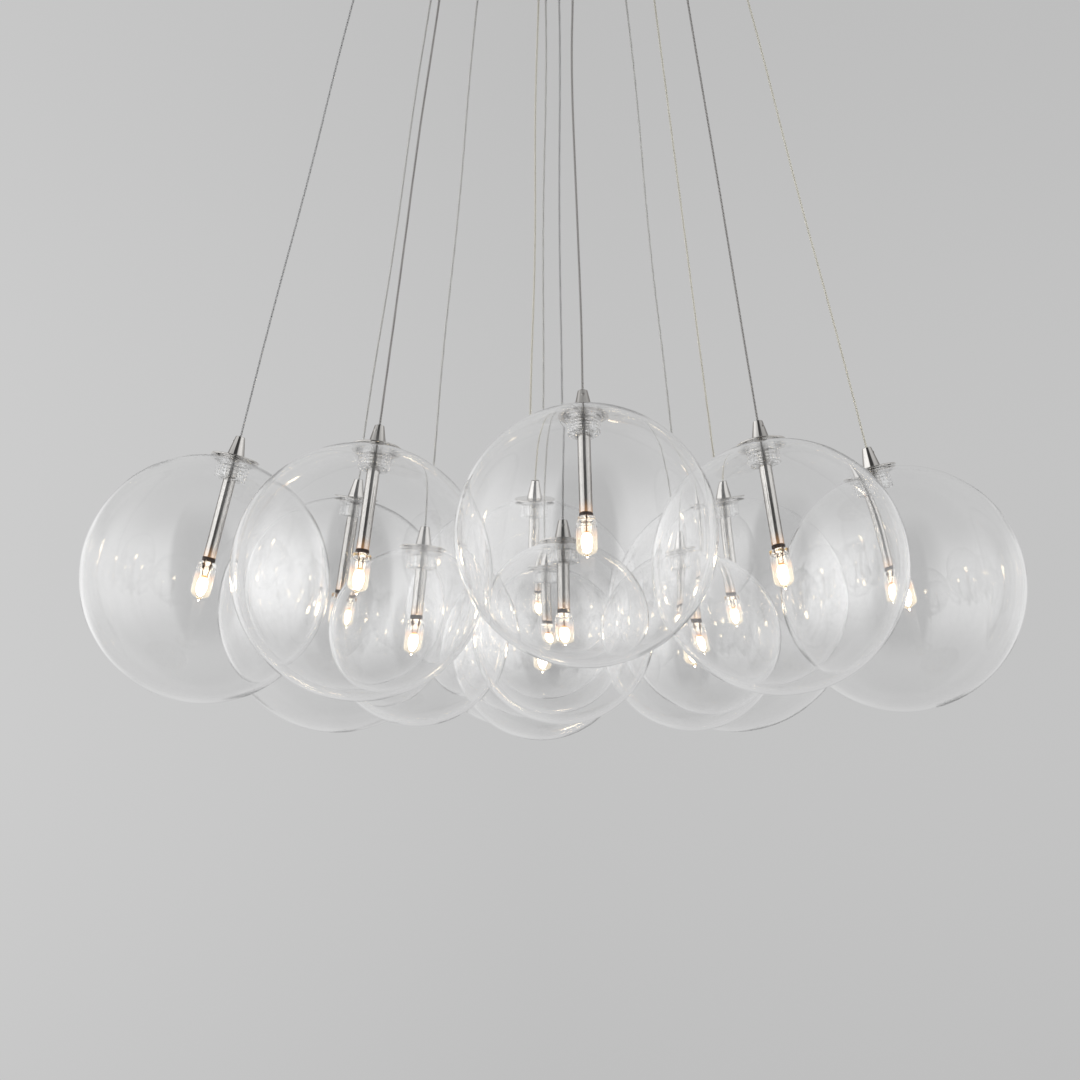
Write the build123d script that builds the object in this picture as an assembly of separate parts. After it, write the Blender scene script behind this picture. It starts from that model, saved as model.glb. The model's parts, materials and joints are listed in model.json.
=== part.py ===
from build123d import *
from collections import namedtuple
from itertools import combinations
from math import asin, cos, degrees, isclose, radians, sin, sqrt
import os

# A cluster pendant: twelve clear glass globes, each round a low-voltage capsule
# bulb, hang from one round ceiling canopy on twelve thin cables. Millimetres,
# +Z up. The origin is on the ceiling, at the middle of the canopy.

# ---- globes -----------------------------------------------------------------
LARGE_GLOBE_D = 160.0
SMALL_GLOBE_D = 115.0
GLASS_WALL = 1.8
NECK_BORE_D = 18.0  # the globe's mouth turns inward and carries the screw thread
NECK_WALL = 1.6
NECK_LENGTH = 13.0
NECK_ROOT_R = 2.0  # radius where the neck runs into the globe
LIP_R = 0.7  # radius round the mouth

# ---- stem: grip, cover disc, screw plug, tube and lampholder -----------------
TUBE_D = 8.0
TUBE_WALL = 0.6
LARGE_TUBE_BELOW_DISC = 66.0
SMALL_TUBE_BELOW_DISC = 45.0
TUBE_INTO_GRIP = 5.0
DISC_D = 32.0
DISC_T = 1.0
DISC_EDGE_R = 0.3
PLUG_LENGTH = 14.0
PLUG_CHAMFER = 0.6
GRIP_BASE_D = 11.5
GRIP_TOP_D = 5.8
GRIP_HEIGHT = 14.0
GRIP_SHOULDER = 1.2  # short straight band at the foot of the cone
GRUB_D = 2.0
GRUB_BELOW_TOP = 4.0
GRUB_ABOVE_CABLE = 0.1
HOLDER_RING = 2.6  # the part of the lampholder that shows
HOLDER_RING_D = 8.6
HOLDER_SPIGOT = 9.0
PIN_HOLE_D = 1.0
PIN_HOLE_DEPTH = 8.0

# ---- capsule bulb --------------------------------------------------------------
BULB_D = 13.0
BULB_LENGTH = 24.0  # glass, from the pinch's end to the dome's end
BULB_WALL = 0.7
BULB_DOME = 4.5  # height of the rounded end
PINCH_LENGTH = 6.0
PINCH_WIDTH = 9.0
PINCH_T = 3.2
PINCH_EDGE_R = 1.0
BULB_SHOULDER = 4.0  # where the pinch widens to the tube of the bulb
BULB_SHOULDER_SLOPE = 0.3  # fall of the shoulder for each millimetre outward, at the pinch
BULB_TIP_ROOT_D = 4.8
BULB_TIP_END_D = 1.2
BULB_TIP_ROOT = 2.4  # the seal tip's cone starts this far inside the dome
BULB_TIP_LENGTH = 2.0
PIN_D = 0.7
PIN_SPACING = 4.0  # two-pin capsule base
PIN_LENGTH = 7.0
COIL_D = 1.6
COIL_LENGTH = 5.0
COIL_BELOW_PINCH = 7.0

# ---- cables --------------------------------------------------------------------
CABLE_D = 1.4
CABLE_INTO_GRIP = 7.0
STOP_D = 6.4  # ball swaged on the cable's top end, which carries the weight
SWING_OUT = 20.0  # degrees that a large globe is free to swing outward

# ---- canopy --------------------------------------------------------------------
CANOPY_D = 300.0
CANOPY_DEPTH = 32.0
CANOPY_SHEET = 1.2
CANOPY_EDGE_R = 8.0
INNER_HOLES_R = 45.0
OUTER_HOLES_R = 120.0
MIDDLE_HOLES_INSET = 14.0  # every second large globe hangs from a hole further in

# ---- cable glands in the canopy ---------------------------------------------------
GLAND_SHANK_D = 10.0
GLAND_SHANK_ABOVE = 8.0  # above the canopy's lower face
GLAND_FLANGE_D = 16.0
GLAND_FLANGE_T = 2.2
GLAND_MOUTH_RIM = 0.6
GLAND_BELOW = 6.5
PIVOT_BELOW_FACE = 0.5  # the ball's centre, below the canopy's lower face
NUT_ACROSS_FLATS = 14.0
NUT_T = 3.0

# ---- ceiling plate and what it carries -------------------------------------------
PLATE_D = 240.0
PLATE_T = 2.0
PLATE_ARM_W = 16.0
PLATE_ARMS = 3
TAB_DROP = 16.0
TAB_GAP = 0.4  # from the bent tab to the canopy's wall
ENTRY_HOLE_D = 30.0
SCREW_SLOT_D = 5.5
SCREW_SLOT_LENGTH = 12.0
SCREW_SPACING = 180.0
SIDE_SCREW_D = 4.0
SIDE_SCREW_HEAD_D = 7.5
SIDE_SCREW_HEAD_T = 2.4
SIDE_SCREW_LENGTH = 8.0
SIDE_SCREW_BELOW_CEILING = 10.0
TRANSFORMER_SIZE = (118.0, 42.0, 18.0)
TRANSFORMER_CORNER_R = 4.0
TRANSFORMER_EDGE_R = 2.0
TRANSFORMER_EAR = 9.0  # width of the screw ear at each end
TRANSFORMER_EAR_LENGTH = 27.0  # most of it inside the case
TRANSFORMER_EAR_T = 3.0
TRANSFORMER_Y = 46.0
FIX_SCREW_D = 3.0
FIX_HEAD_D = 5.6
FIX_HEAD_T = 2.0
FIX_SCREW_INTO_PLATE = 1.5
TERMINAL_PITCH = 8.0
TERMINAL_DEPTH = 17.0
TERMINAL_HEIGHT = 13.0
TERMINAL_BLOCK_W = 6.4
TERMINAL_BLOCK_HEIGHT = 10.4
TERMINAL_WEB_DEPTH = 8.5
TERMINAL_BORE_D = 3.0
TERMINAL_BORE_BELOW_PLATE = 5.2
TERMINAL_WELL_OUT = 5.6  # from the strip's middle line to each screw well
SUPPLY_WAYS = 3
OUTPUT_WAYS = 12
TERMINAL_Y = -56.0
STRIPS_X = -7.0  # the middle of the two terminal strips, which lie end to end
STRIP_GAP = 6.0
OUTPUT_X = STRIPS_X - (TERMINAL_PITCH * SUPPLY_WAYS + STRIP_GAP) / 2
SUPPLY_X = STRIPS_X + (TERMINAL_PITCH * OUTPUT_WAYS + STRIP_GAP) / 2

# ---- clearances ---------------------------------------------------------------------
RUN_CLEAR = 0.3  # between pieces that move against each other
FIT_CLEAR = 0.05  # between pieces that are screwed or pressed together
THREAD_CLEAR = 0.4  # screw plug to glass neck, on the radius
SCREW_CLEAR = 0.2  # screw to the hole that it passes
REST_GAP = 1.0  # least gap between two hanging globes

# ---- making ---------------------------------------------------------------------------
PAST = 1.0  # how far a cut runs on past the face that it cuts
ROUND_SHARE = 0.4  # the most of a piece's thickness that a rounded edge may take
SAME = 0.01  # two radii this close are the same
STANDING = (Align.CENTER, Align.CENTER, Align.MIN)  # on its own foot, up from a height
HANGING = (Align.CENTER, Align.CENTER, Align.MAX)  # down from a height

# Each pendant: its size, the direction it hangs in, how far its neighbours hold the
# middle of its globe out from the middle of the lamp, counted in its own diameters,
# and how much its cable is trimmed from the usual length.
LARGE_HANG = 430.0  # from the cable's pivot to the middle of the globe
SMALL_HANG = 457.0
MIDDLE_HOLES_R = OUTER_HOLES_R - MIDDLE_HOLES_INSET
Pendant = namedtuple("Pendant", "name large holes_r azimuth reach trim")
PENDANTS = [
    Pendant("01", True, OUTER_HOLES_R, 186.0, 1.400, 0.0),
    Pendant("02", True, MIDDLE_HOLES_R, 232.0, 1.206, 6.0),
    Pendant("03", True, MIDDLE_HOLES_R, 137.0, 1.224, 2.0),
    Pendant("04", False, INNER_HOLES_R, 186.0, 0.757, -2.0),
    Pendant("05", True, OUTER_HOLES_R, 94.0, 1.465, -2.0),
    Pendant("06", True, OUTER_HOLES_R, 275.0, 1.468, 0.0),
    Pendant("07", False, INNER_HOLES_R, 275.0, 0.684, 2.0),
    Pendant("08", False, INNER_HOLES_R, 95.0, 0.682, -1.0),
    Pendant("09", False, INNER_HOLES_R, 6.0, 0.793, 0.0),
    Pendant("10", True, MIDDLE_HOLES_R, 318.0, 1.198, 0.0),
    Pendant("11", True, OUTER_HOLES_R, 4.0, 1.428, 3.0),
    Pendant("12", True, MIDDLE_HOLES_R, 51.0, 1.221, 0.0),
]
SETTLE_STEP = 0.002  # globe diameters
SETTLE_PASSES = 400

# ---- worked out from the above --------------------------------------------------------
PIVOT_Z = -CANOPY_DEPTH - PIVOT_BELOW_FACE
STOP_SEAT_R = STOP_D / 2 + RUN_CLEAR
PLUG_D = NECK_BORE_D - 2 * THREAD_CLEAR
NECK_D = NECK_BORE_D + 2 * NECK_WALL
GLAND_HOLE_D = GLAND_SHANK_D + 2 * FIT_CLEAR
SIDE_SCREW_Z = -SIDE_SCREW_BELOW_CEILING


def globe_diameter(pendant):
    return LARGE_GLOBE_D if pendant.large else SMALL_GLOBE_D


def globe_radius(pendant):
    return globe_diameter(pendant) / 2


def hang(pendant):
    """Distance from the cable's pivot to the middle of the globe."""
    return (LARGE_HANG if pendant.large else SMALL_HANG) + pendant.trim


def lean(pendant):
    """Degrees from plumb at which the cable hangs, so that its globe has its reach."""
    out = pendant.reach * globe_diameter(pendant) - pendant.holes_r
    return degrees(asin(out / hang(pendant)))


def pivot(pendant):
    a = radians(pendant.azimuth)
    return Vector(pendant.holes_r * cos(a), pendant.holes_r * sin(a), PIVOT_Z)


def outward(pendant):
    a = radians(pendant.azimuth)
    return Vector(cos(a), sin(a), 0)


def globe_centre(pendant):
    a = radians(lean(pendant))
    return pivot(pendant) + hang(pendant) * (sin(a) * outward(pendant) - Vector(0, 0, cos(a)))


def gap_between(a, b):
    return (globe_centre(a) - globe_centre(b)).length - globe_radius(a) - globe_radius(b)


def settle(pendants):
    """Globes that would touch push each other outward, a small globe its large neighbour."""
    hung = list(pendants)
    for _ in range(SETTLE_PASSES):
        pairs = combinations(range(len(hung)), 2)
        tight = [(i, j) for i, j in pairs if gap_between(hung[i], hung[j]) < REST_GAP]
        if not tight:
            break
        pushed = set()
        for i, j in tight:
            same_size = hung[i].large == hung[j].large
            pushed.update(k for k in (i, j) if same_size or hung[k].large)
        for k in pushed:
            hung[k] = hung[k]._replace(reach=hung[k].reach + SETTLE_STEP)
    return hung


def hung_from(pendant):
    """The pendant's own frame: origin at its pivot, +Z up its cable, +X outward."""
    return Location(pivot(pendant)) * Rot(0, 0, pendant.azimuth) * Rot(0, -lean(pendant), 0)


def at_globe(pendant):
    """The same frame with its origin at the middle of the globe."""
    return hung_from(pendant) * Pos(0, 0, -hang(pendant))


def disc_underside(radius):
    """Height of the cover disc above the globe's middle: it lies on the lip of the mouth."""
    return sqrt(radius**2 - (NECK_BORE_D / 2) ** 2) + RUN_CLEAR


def grip_top(radius):
    return disc_underside(radius) + DISC_T + GRIP_HEIGHT


def tube_end(pendant):
    """Height of the tube's lower end above the globe's middle."""
    drop = LARGE_TUBE_BELOW_DISC if pendant.large else SMALL_TUBE_BELOW_DISC
    return disc_underside(globe_radius(pendant)) - drop


def rod(diameter, low, high):
    """A round bar on the Z axis from one height to another."""
    return Pos(0, 0, low) * Cylinder(diameter / 2, high - low, align=STANDING)


def pipe(outer, inner, low, high):
    return rod(outer, low, high) - rod(inner, low - PAST, high + PAST)


def rings_of(shape, diameter):
    """The round edges of one diameter, lowest first."""
    rings = shape.edges().filter_by(GeomType.CIRCLE)
    return rings.filter_by(lambda ring: isclose(ring.radius, diameter / 2, abs_tol=SAME)).sort_by(Axis.Z)


def rounding(radius, thickness):
    """A rounded edge's radius, kept within the piece that it is on."""
    return min(radius, thickness * ROUND_SHARE)


# ---- glass globe -------------------------------------------------------------------
def make_globe(pendant):
    """A blown globe whose mouth turns inward as a short screw neck."""
    radius = globe_radius(pendant)
    lip_z = sqrt(radius**2 - (NECK_BORE_D / 2) ** 2)
    shell = Sphere(radius) - Sphere(radius - GLASS_WALL)
    neck = rod(NECK_D, lip_z - NECK_LENGTH, radius) & Sphere(radius)
    globe = shell + neck - rod(NECK_BORE_D, lip_z - NECK_LENGTH - PAST, radius + PAST)
    globe = fillet(rings_of(globe, NECK_BORE_D)[-1], rounding(LIP_R, GLASS_WALL))
    return fillet(rings_of(globe, NECK_D)[-1], NECK_ROOT_R)


# ---- stem ---------------------------------------------------------------------------
def make_grip(foot):
    """The cone that grips the cable, standing on the cover disc."""
    top = foot + GRIP_HEIGHT
    with BuildPart() as grip:
        with BuildSketch(Plane.XZ):
            with BuildLine():
                Polyline(
                    (0, foot),
                    (GRIP_BASE_D / 2, foot),
                    (GRIP_BASE_D / 2, foot + GRIP_SHOULDER),
                    (GRIP_TOP_D / 2, top),
                    (0, top),
                    close=True,
                )
            make_face()
        revolve(axis=Axis.Z)
    body = grip.part - rod(TUBE_D + 2 * FIT_CLEAR, foot - PAST, foot + TUBE_INTO_GRIP)
    body -= rod(CABLE_D, top - CABLE_INTO_GRIP, top + PAST)
    return body - grub_shape(top, 2 * FIT_CLEAR, GRIP_BASE_D)


def grub_shape(top, extra, reach):
    """A radial cylinder from the cable's side outward, at the grub screw's height."""
    start = CABLE_D / 2 + GRUB_ABOVE_CABLE - extra / 2
    bar = Cylinder((GRUB_D + extra) / 2, reach, align=STANDING)
    return Pos(start, 0, top - GRUB_BELOW_TOP) * Rot(0, 90, 0) * bar


def make_grub(foot):
    """The grub screw that bites the cable, its end a little inside the cone."""
    top = foot + GRIP_HEIGHT
    slope = (GRIP_BASE_D - GRIP_TOP_D) / 2 / (GRIP_HEIGHT - GRIP_SHOULDER)
    face = GRIP_TOP_D / 2 + slope * (GRUB_BELOW_TOP - GRUB_D / 2)
    return grub_shape(top, 0, face - CABLE_D / 2 - GRUB_ABOVE_CABLE)


def make_disc(under):
    disc = pipe(DISC_D, TUBE_D + 2 * FIT_CLEAR, under, under + DISC_T)
    return fillet(rings_of(disc, DISC_D), rounding(DISC_EDGE_R, DISC_T))


def make_plug(under):
    """The clear screw plug that the globe's neck turns on to."""
    plug = pipe(PLUG_D, TUBE_D + 2 * FIT_CLEAR, under - PLUG_LENGTH, under)
    return chamfer(rings_of(plug, PLUG_D)[0], PLUG_CHAMFER)


def make_tube(under, end):
    return pipe(TUBE_D, TUBE_D - 2 * TUBE_WALL, end, under + DISC_T + TUBE_INTO_GRIP)


def make_holder(end):
    """The two-pin lampholder: a ring under the tube's end and a spigot inside the tube."""
    ring = rod(HOLDER_RING_D, end - HOLDER_RING, end)
    spigot = rod(TUBE_D - 2 * TUBE_WALL - 2 * FIT_CLEAR, end - FIT_CLEAR, end + HOLDER_SPIGOT)
    holder = ring + spigot
    for side in (-1, 1):
        hole = rod(PIN_HOLE_D, end - HOLDER_RING - PAST, end - HOLDER_RING + PIN_HOLE_DEPTH)
        holder -= Pos(side * PIN_SPACING / 2, 0, 0) * hole
    return holder


def make_stem(pendant):
    under = disc_underside(globe_radius(pendant))
    end = tube_end(pendant)
    foot = under + DISC_T
    fitted_to_cable = [make_grip(foot), make_grub(foot)]
    return fitted_to_cable + [make_disc(under), make_plug(under), make_tube(under, end), make_holder(end)]


# ---- capsule bulb ---------------------------------------------------------------------
def bulb_profile(top, inset):
    """Half outline of the round part of the bulb, drawn in by the glass thickness."""
    radius = BULB_D / 2 - inset
    shoulder_top = top - PINCH_LENGTH - inset
    shoulder_low = shoulder_top - BULB_SHOULDER
    dome_low = top - BULB_LENGTH + inset
    dome = BULB_DOME - inset
    waist = PINCH_T / 2
    with BuildSketch(Plane.XZ) as face:
        with BuildLine():
            Line((0, shoulder_top), (waist, shoulder_top))
            Spline(
                (waist, shoulder_top),
                (radius, shoulder_low),
                tangents=((1, -BULB_SHOULDER_SLOPE), (0, -1)),
            )
            Line((radius, shoulder_low), (radius, dome_low + dome))
            EllipticalCenterArc((0, dome_low + dome), radius, dome, start_angle=270, arc_size=90)
            Line((0, dome_low), (0, shoulder_top))
        make_face()
    return face.sketch


def make_bulb(pendant):
    """A clear two-pin capsule bulb: pinched end up, domed end with its seal tip down."""
    top = tube_end(pendant) - HOLDER_RING - RUN_CLEAR
    glass = revolve(bulb_profile(top, 0), Axis.Z)
    pinch_reach = PINCH_LENGTH + BULB_SHOULDER / 2
    pinch = Box(PINCH_WIDTH, PINCH_T, pinch_reach, align=HANGING)
    pinch = Pos(0, 0, top) * fillet(pinch.edges().filter_by(Axis.Z), rounding(PINCH_EDGE_R, PINCH_T))
    tip_length = BULB_TIP_ROOT + BULB_TIP_LENGTH
    tip = Cone(BULB_TIP_END_D / 2, BULB_TIP_ROOT_D / 2, tip_length, align=STANDING)
    tip = Pos(0, 0, top - BULB_LENGTH - BULB_TIP_LENGTH) * tip
    glass = glass + pinch + tip - revolve(bulb_profile(top, BULB_WALL), Axis.Z)
    pins = [Pos(side * PIN_SPACING / 2, 0, 0) * rod(PIN_D, top, top + PIN_LENGTH) for side in (-1, 1)]
    return [glass] + pins + [make_filament(top - PINCH_LENGTH - BULB_WALL)]


def make_filament(ceiling):
    """The coil between its two support wires, under the pinch."""
    coil = Pos(0, 0, ceiling - COIL_BELOW_PINCH) * Rot(0, 90, 0) * Cylinder(COIL_D / 2, COIL_LENGTH)
    for side in (-1, 1):
        wire = Pos(side * (PINCH_T - PIN_D) / 2, 0, 0) * rod(PIN_D, ceiling - COIL_BELOW_PINCH, ceiling)
        coil += wire
    return coil


# ---- cable -------------------------------------------------------------------------------
def cable_length(pendant):
    return hang(pendant) - grip_top(globe_radius(pendant)) + CABLE_INTO_GRIP


def make_cable(pendant):
    """One straight cable from its swaged ball stop down into the grip."""
    return rod(CABLE_D, -cable_length(pendant), 0) + Sphere(STOP_D / 2)


# ---- glands ---------------------------------------------------------------------------------
def widest_swing(pendants):
    """Degrees from plumb of the steepest cable, with its globe swung out."""
    return max(lean(p) for p in pendants if p.large) + SWING_OUT


def make_gland(swing):
    """A turned bush with a seat for the cable's ball and a trumpet mouth that lets it swing."""
    face = PIVOT_BELOW_FACE
    cable_room = asin((CABLE_D / 2 + RUN_CLEAR) / STOP_SEAT_R)
    waist_r = STOP_SEAT_R * sin(radians(swing) + cable_room)
    waist_z = -STOP_SEAT_R * cos(radians(swing) + cable_room)
    low = face - GLAND_BELOW
    mouth_r = waist_r + (waist_z - low)
    with BuildPart() as gland:
        with BuildSketch(Plane.XZ):
            with BuildLine():
                Polyline(
                    (STOP_SEAT_R, 0),
                    (STOP_SEAT_R, face + GLAND_SHANK_ABOVE),
                    (GLAND_SHANK_D / 2, face + GLAND_SHANK_ABOVE),
                    (GLAND_SHANK_D / 2, face),
                    (GLAND_FLANGE_D / 2, face),
                    (GLAND_FLANGE_D / 2, face - GLAND_FLANGE_T),
                    (mouth_r + GLAND_MOUTH_RIM, low),
                    (mouth_r, low),
                    (waist_r, waist_z),
                )
                RadiusArc((waist_r, waist_z), (STOP_SEAT_R, 0), -STOP_SEAT_R)
            make_face()
        revolve(axis=Axis.Z)
    return gland.part


def make_nut():
    """The hexagon nut that clamps the gland from inside the canopy."""
    seat = PIVOT_BELOW_FACE + CANOPY_SHEET
    flats = extrude(RegularPolygon(NUT_ACROSS_FLATS / 2, 6, major_radius=False), NUT_T)
    return Pos(0, 0, seat) * flats - rod(GLAND_HOLE_D, 0, seat + NUT_T + PAST)


# ---- canopy -----------------------------------------------------------------------------------
def arm_angles():
    """The plate's arms point between the terminal strips and the transformer."""
    return [90 + k * 360 / PLATE_ARMS for k in range(PLATE_ARMS)]


def make_canopy(pendants):
    """A spun dish, open to the ceiling, with a hole for each gland and each side screw."""
    outer_r = CANOPY_D / 2
    inner_r = outer_r - CANOPY_SHEET
    flat_r = outer_r - CANOPY_EDGE_R
    floor_z = CANOPY_SHEET - CANOPY_DEPTH
    wall_z = CANOPY_EDGE_R - CANOPY_DEPTH
    with BuildPart() as dish:
        with BuildSketch(Plane.XZ):
            with BuildLine():
                Line((0, -CANOPY_DEPTH), (flat_r, -CANOPY_DEPTH))
                RadiusArc((flat_r, -CANOPY_DEPTH), (outer_r, wall_z), -CANOPY_EDGE_R)
                Line((outer_r, wall_z), (outer_r, 0))
                Line((outer_r, 0), (inner_r, 0))
                Line((inner_r, 0), (inner_r, wall_z))
                RadiusArc((inner_r, wall_z), (flat_r, floor_z), CANOPY_EDGE_R - CANOPY_SHEET)
                Line((flat_r, floor_z), (0, floor_z))
                Line((0, floor_z), (0, -CANOPY_DEPTH))
            make_face()
        revolve(axis=Axis.Z)
    canopy = dish.part
    for pendant in pendants:
        at = pivot(pendant)
        hole = rod(GLAND_HOLE_D, -CANOPY_DEPTH - PAST, floor_z + PAST)
        canopy -= Pos(at.X, at.Y, 0) * hole
    for angle in arm_angles():
        canopy -= Rot(0, 0, angle) * side_bar(SIDE_SCREW_D + 2 * SCREW_CLEAR, inner_r - PAST, outer_r + PAST)
    return canopy


def side_bar(diameter, start, end):
    """A round bar that points outward at the side screws' height."""
    bar = Cylinder(diameter / 2, end - start, align=STANDING)
    return Pos(start, 0, SIDE_SCREW_Z) * Rot(0, 90, 0) * bar


def make_side_screws():
    outer_r = CANOPY_D / 2
    screws = []
    for angle in arm_angles():
        shank = side_bar(SIDE_SCREW_D, outer_r - SIDE_SCREW_LENGTH, outer_r)
        head = side_bar(SIDE_SCREW_HEAD_D, outer_r, outer_r + SIDE_SCREW_HEAD_T)
        crown = head.edges().filter_by(GeomType.CIRCLE).sort_by(Axis.X)[-1]
        screws.append(Rot(0, 0, angle) * (shank + fillet(crown, SIDE_SCREW_HEAD_T * ROUND_SHARE)))
    return screws


# ---- ceiling plate --------------------------------------------------------------------------------
def make_plate():
    """The steel plate on the ceiling, with bent arms that the side screws go into."""
    reach = CANOPY_D / 2 - CANOPY_SHEET - TAB_GAP
    arm = Box(reach, PLATE_ARM_W, PLATE_T, align=(Align.MIN, Align.CENTER, Align.MAX))
    tab = Box(PLATE_T, PLATE_ARM_W, TAB_DROP, align=(Align.MAX, Align.CENTER, Align.MAX))
    thread = side_bar(SIDE_SCREW_D + 2 * FIT_CLEAR, reach - PLATE_T - PAST, reach + PAST)
    bent_arm = arm + Pos(reach, 0, 0) * tab - thread
    plate = rod(PLATE_D, -PLATE_T, 0)
    for angle in arm_angles():
        plate += Rot(0, 0, angle) * bent_arm
    plate -= rod(ENTRY_HOLE_D, -PLATE_T - PAST, PAST)
    slot = extrude(SlotOverall(SCREW_SLOT_LENGTH, SCREW_SLOT_D), PLATE_T + 2 * PAST)
    for side in (-1, 1):
        plate -= Pos(side * SCREW_SPACING / 2, 0, -PLATE_T - PAST) * slot
    for x, y, _ in fixing_points():
        plate -= Pos(x, y, 0) * rod(FIX_SCREW_D + 2 * FIT_CLEAR, -PLATE_T - PAST, PAST)
    return plate


def strip_hole(middle_x, ways):
    """A strip's fixing hole lies in the web between two ways."""
    return middle_x + (TERMINAL_PITCH / 2 if ways % 2 else 0)


def fixing_points():
    """Where the transformer and the terminal strips are screwed to the plate, and what each holds."""
    ear_x = TRANSFORMER_SIZE[0] / 2 + TRANSFORMER_EAR / 2
    return [
        (-ear_x, TRANSFORMER_Y, TRANSFORMER_EAR_T),
        (ear_x, TRANSFORMER_Y, TRANSFORMER_EAR_T),
        (strip_hole(SUPPLY_X, SUPPLY_WAYS), TERMINAL_Y, TERMINAL_HEIGHT),
        (strip_hole(OUTPUT_X, OUTPUT_WAYS), TERMINAL_Y, TERMINAL_HEIGHT),
    ]


def make_fixing_screws():
    """Pan-head screws that hold each piece up against the plate."""
    screws = []
    for x, y, thickness in fixing_points():
        seat = -PLATE_T - thickness
        head = rod(FIX_HEAD_D, seat - FIX_HEAD_T, seat)
        rim = head.edges().filter_by(GeomType.CIRCLE).sort_by(Axis.Z)[0]
        shank = rod(FIX_SCREW_D, seat, FIX_SCREW_INTO_PLATE - PLATE_T)
        screws.append(Pos(x, y, 0) * (fillet(rim, FIX_HEAD_T * ROUND_SHARE) + shank))
    return screws


def make_transformer():
    """The low-voltage supply: a moulded case with a screw ear at each end."""
    length, width, height = TRANSFORMER_SIZE
    case = Box(length, width, height, align=HANGING)
    case = Pos(0, TRANSFORMER_Y, -PLATE_T) * fillet(case.edges().filter_by(Axis.Z), TRANSFORMER_CORNER_R)
    case = fillet(case.faces().sort_by(Axis.Z)[0].edges(), TRANSFORMER_EDGE_R)
    ear = extrude(SlotOverall(TRANSFORMER_EAR_LENGTH, TRANSFORMER_EAR), -TRANSFORMER_EAR_T)
    inward = (TRANSFORMER_EAR_LENGTH - TRANSFORMER_EAR) / 2
    for x, y, thickness in fixing_points()[0:2]:
        case += Pos(x - inward if x > 0 else x + inward, y, -PLATE_T) * ear
        case -= Pos(x, y, 0) * rod(FIX_SCREW_D + 2 * SCREW_CLEAR, -PLATE_T - thickness - PAST, 0)
    return case


def make_terminals(middle_x, ways):
    """A screw terminal strip: a rounded block for each way, all on one web."""
    low = -PLATE_T - TERMINAL_HEIGHT
    bore_z = -PLATE_T - TERMINAL_BORE_BELOW_PLATE
    web = Box(TERMINAL_PITCH * ways, TERMINAL_WEB_DEPTH, TERMINAL_HEIGHT, align=HANGING)
    block = Box(TERMINAL_BLOCK_W, TERMINAL_DEPTH, TERMINAL_BLOCK_HEIGHT, align=HANGING)
    bore = Rot(90, 0, 0) * Cylinder(TERMINAL_BORE_D / 2, TERMINAL_DEPTH + 2 * PAST)
    well = rod(TERMINAL_BORE_D, low - PAST, bore_z)
    middles = [middle_x + (way - (ways - 1) / 2) * TERMINAL_PITCH for way in range(ways)]
    strip = Pos(middle_x, TERMINAL_Y, -PLATE_T) * web
    for x in middles:
        strip += Pos(x, TERMINAL_Y, -PLATE_T) * block
    for x in middles:
        strip -= Pos(x, TERMINAL_Y, bore_z) * bore
        for side in (-1, 1):
            strip -= Pos(x, TERMINAL_Y + side * TERMINAL_WELL_OUT, 0) * well
    hole = rod(FIX_SCREW_D + 2 * SCREW_CLEAR, low - PAST, 0)
    return strip - Pos(strip_hole(middle_x, ways), TERMINAL_Y, 0) * hole


# ---- the whole lamp ---------------------------------------------------------------------------------
def make_nodes():
    pendants = settle(PENDANTS)
    gland = make_gland(widest_swing(pendants))
    glands = [Pos(*pivot(p)) * gland for p in pendants]
    nuts = [Pos(*pivot(p)) * Rot(0, 0, p.azimuth) * make_nut() for p in pendants]
    nodes = {
        "ceiling_plate": [make_plate()],
        "canopy_cover": [make_canopy(pendants)],
        "canopy_screws": make_side_screws(),
        "cable_glands": glands,
        "gland_nuts": nuts,
        "transformer": [make_transformer()],
        "supply_terminals": [make_terminals(SUPPLY_X, SUPPLY_WAYS)],
        "output_terminals": [make_terminals(OUTPUT_X, OUTPUT_WAYS)],
        "fixing_screws": make_fixing_screws(),
    }
    for p in pendants:
        nodes["cable_" + p.name] = [hung_from(p) * make_cable(p)]
        nodes["stem_" + p.name] = [at_globe(p) * piece for piece in make_stem(p)]
        nodes["bulb_" + p.name] = [at_globe(p) * piece for piece in make_bulb(p)]
        nodes["globe_" + p.name] = [at_globe(p) * make_globe(p)]
        print("cable", p.name, "length", round(cable_length(p), 1), "lean", round(lean(p), 1))
    return nodes


os.makedirs("parts", exist_ok=True)
for node_name, solids in make_nodes().items():
    export_step(Compound(children=list(solids)), "parts/" + node_name + ".step")
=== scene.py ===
# %% [markdown]
# # Twelve glass globes on twelve cables
# The lamp is a cluster of clear blown globes, each round a small lit capsule bulb, that hang on thin cables
# from one round canopy on the ceiling. The pieces that are measured to the millimetre come from the lamp's frame:
# they are already in place, in metres, with +Z up and the origin on the ceiling at the canopy's middle. This
# lesson dresses that frame with the pieces and finishes that a camera sees.

# %% Load the frame
import json
from math import atan2, cos, degrees, pi, radians, sin, sqrt
from collections import namedtuple

import bpy
from mathutils import Matrix, Vector


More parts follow.
